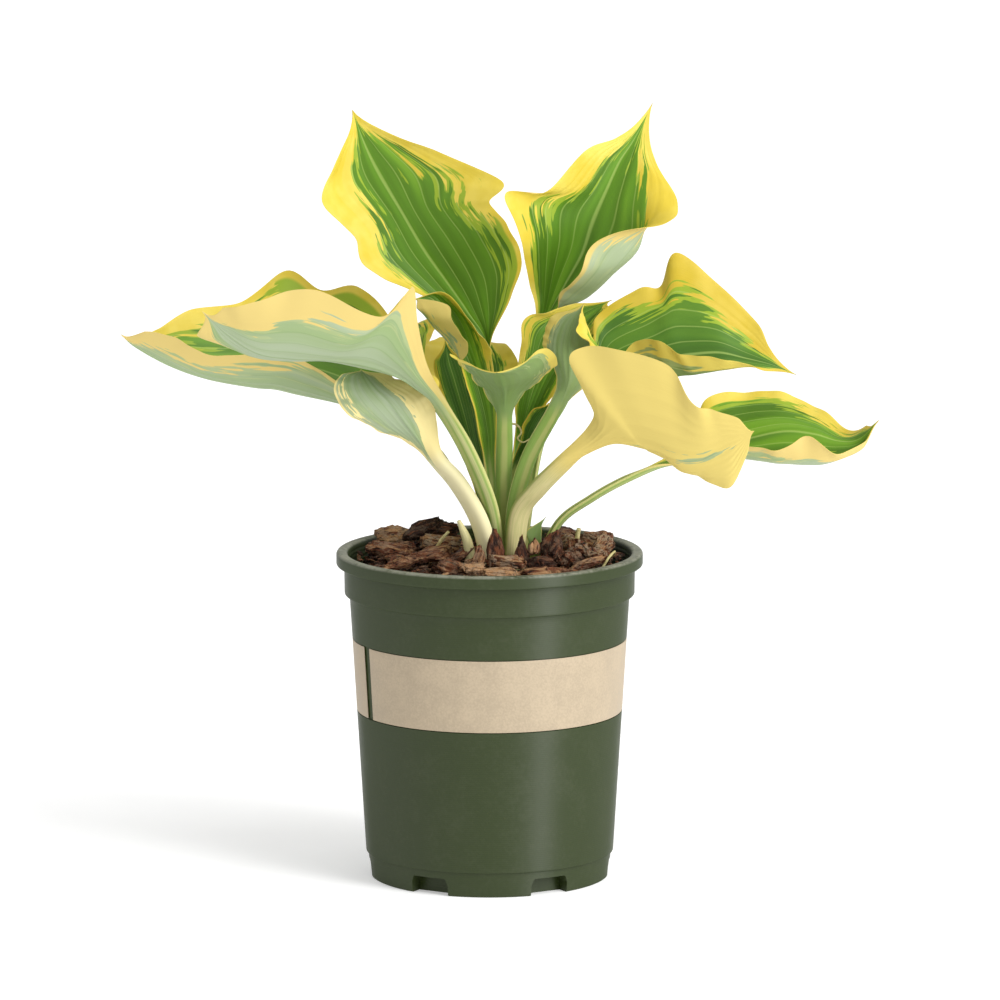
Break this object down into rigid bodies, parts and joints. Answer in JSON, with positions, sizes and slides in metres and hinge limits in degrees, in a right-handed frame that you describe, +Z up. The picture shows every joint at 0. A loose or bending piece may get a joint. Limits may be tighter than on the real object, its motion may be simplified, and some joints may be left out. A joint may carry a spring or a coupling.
{
  "type": "potted hosta plant",
  "caption": "Variegated hosta in a round tapered nursery pot with a bare wrap label, its long-stalked ribbed leaves arching from a crown set in bark mulch.",
  "frame": {"origin": "middle of the whole plant's bounding box, on the floor that the pot stands on", "axes": "+Z up along the pot's axis; the plant's front, with the label's widest bare face, looks along -Y"},
  "size_m": [0.4068, 0.197, 0.4133],
  "materials": {
    "pot_plastic": "dark olive green moulded plastic, satin, with fine turning lines and a dusty lip",
    "label_paper": "bare tan paper band, matt, with faint fibre",
    "soil": "dark crumbly peat potting mix, fully rough",
    "crown": "pale fibrous rootstock",
    "leaf": "green leaf with broad yellow margins, ribbed along its veins, satin above and duller grey-green below",
    "bark": "rough red-brown conifer bark, layered and splintered"
  },
  "bodies": {
    "root": {"pot": "pot_plastic", "label_band": "label_paper", "potting_soil": "soil", "crown": "crown", "leaf_back_left": "leaf", "leaf_back_right": "leaf", "leaf_left_long": "leaf", "leaf_left_front": "leaf", "leaf_left_low": "leaf", "leaf_centre_arched": "leaf", "leaf_centre_left": "leaf", "leaf_front_cupped": "leaf", "leaf_centre_tall": "leaf", "leaf_centre_right": "leaf", "leaf_right_back": "leaf", "leaf_right_front": "leaf", "leaf_right_low": "leaf", "leaf_back_low": "leaf", "leaf_centre_young": "leaf", "leaf_rear_left": "leaf", "leaf_rear_right": "leaf", "torn_sheath": "leaf", "young_shoot": "leaf", "bark_chip_01": "bark", "bark_chip_02": "bark", "bark_chip_03": "bark", "bark_chip_04": "bark", "bark_chip_05": "bark", "bark_chip_06": "bark", "bark_chip_07": "bark", "bark_chip_08": "bark", "bark_chip_09": "bark", "bark_chip_10": "bark", "bark_chip_11": "bark", "bark_chip_12": "bark", "bark_chip_13": "bark", "bark_chip_14": "bark", "bark_chip_15": "bark", "bark_chip_16": "bark", "bark_chip_17": "bark", "bark_chip_18": "bark", "bark_chip_19": "bark", "bark_chip_20": "bark", "bark_chip_21": "bark", "bark_chip_22": "bark", "bark_chip_23": "bark", "bark_chip_24": "bark", "bark_chip_25": "bark", "bark_chip_26": "bark", "bark_chip_27": "bark", "bark_chip_28": "bark", "bark_chip_29": "bark", "bark_chip_30": "bark", "bark_chip_31": "bark", "bark_chip_32": "bark", "bark_chip_33": "bark", "bark_chip_34": "bark", "bark_chip_35": "bark", "bark_chip_36": "bark", "bark_chip_37": "bark"}
  },
  "joints": []
}
